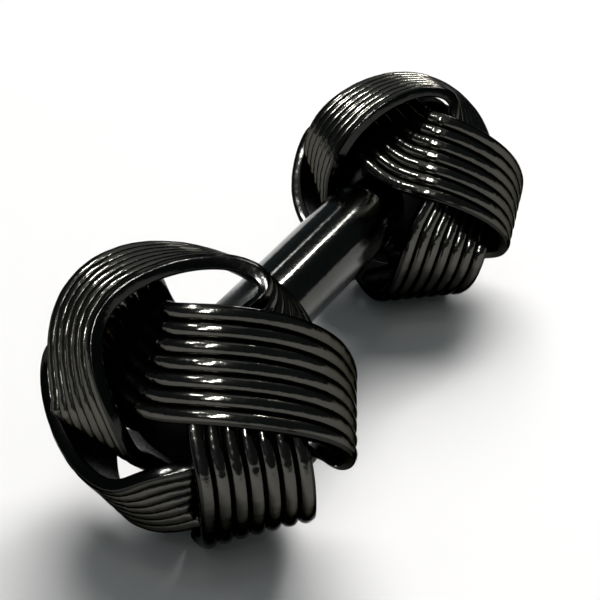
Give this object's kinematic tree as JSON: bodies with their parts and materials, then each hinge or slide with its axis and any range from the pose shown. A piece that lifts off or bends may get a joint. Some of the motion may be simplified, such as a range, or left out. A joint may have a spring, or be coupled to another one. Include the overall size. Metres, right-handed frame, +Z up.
{
  "type": "knot cufflink",
  "caption": "Gunmetal cufflink: a large and a small ball woven from ribbed metal band, joined by a short polished bar.",
  "frame": {"origin": "middle of the footprint at the surface the cufflink lies on; both knots touch that surface", "axes": "+X along the bar from the large knot to the small knot, +Z up, +Y across the bar"},
  "size_m": [0.0292, 0.0138, 0.013],
  "materials": {
    "gunmetal": "polished dark gunmetal plating"
  },
  "bodies": {
    "root": {"large_knot_band_1": "gunmetal", "large_knot_band_2": "gunmetal", "small_knot_band_1": "gunmetal", "small_knot_band_2": "gunmetal", "bar": "gunmetal"}
  },
  "joints": []
}
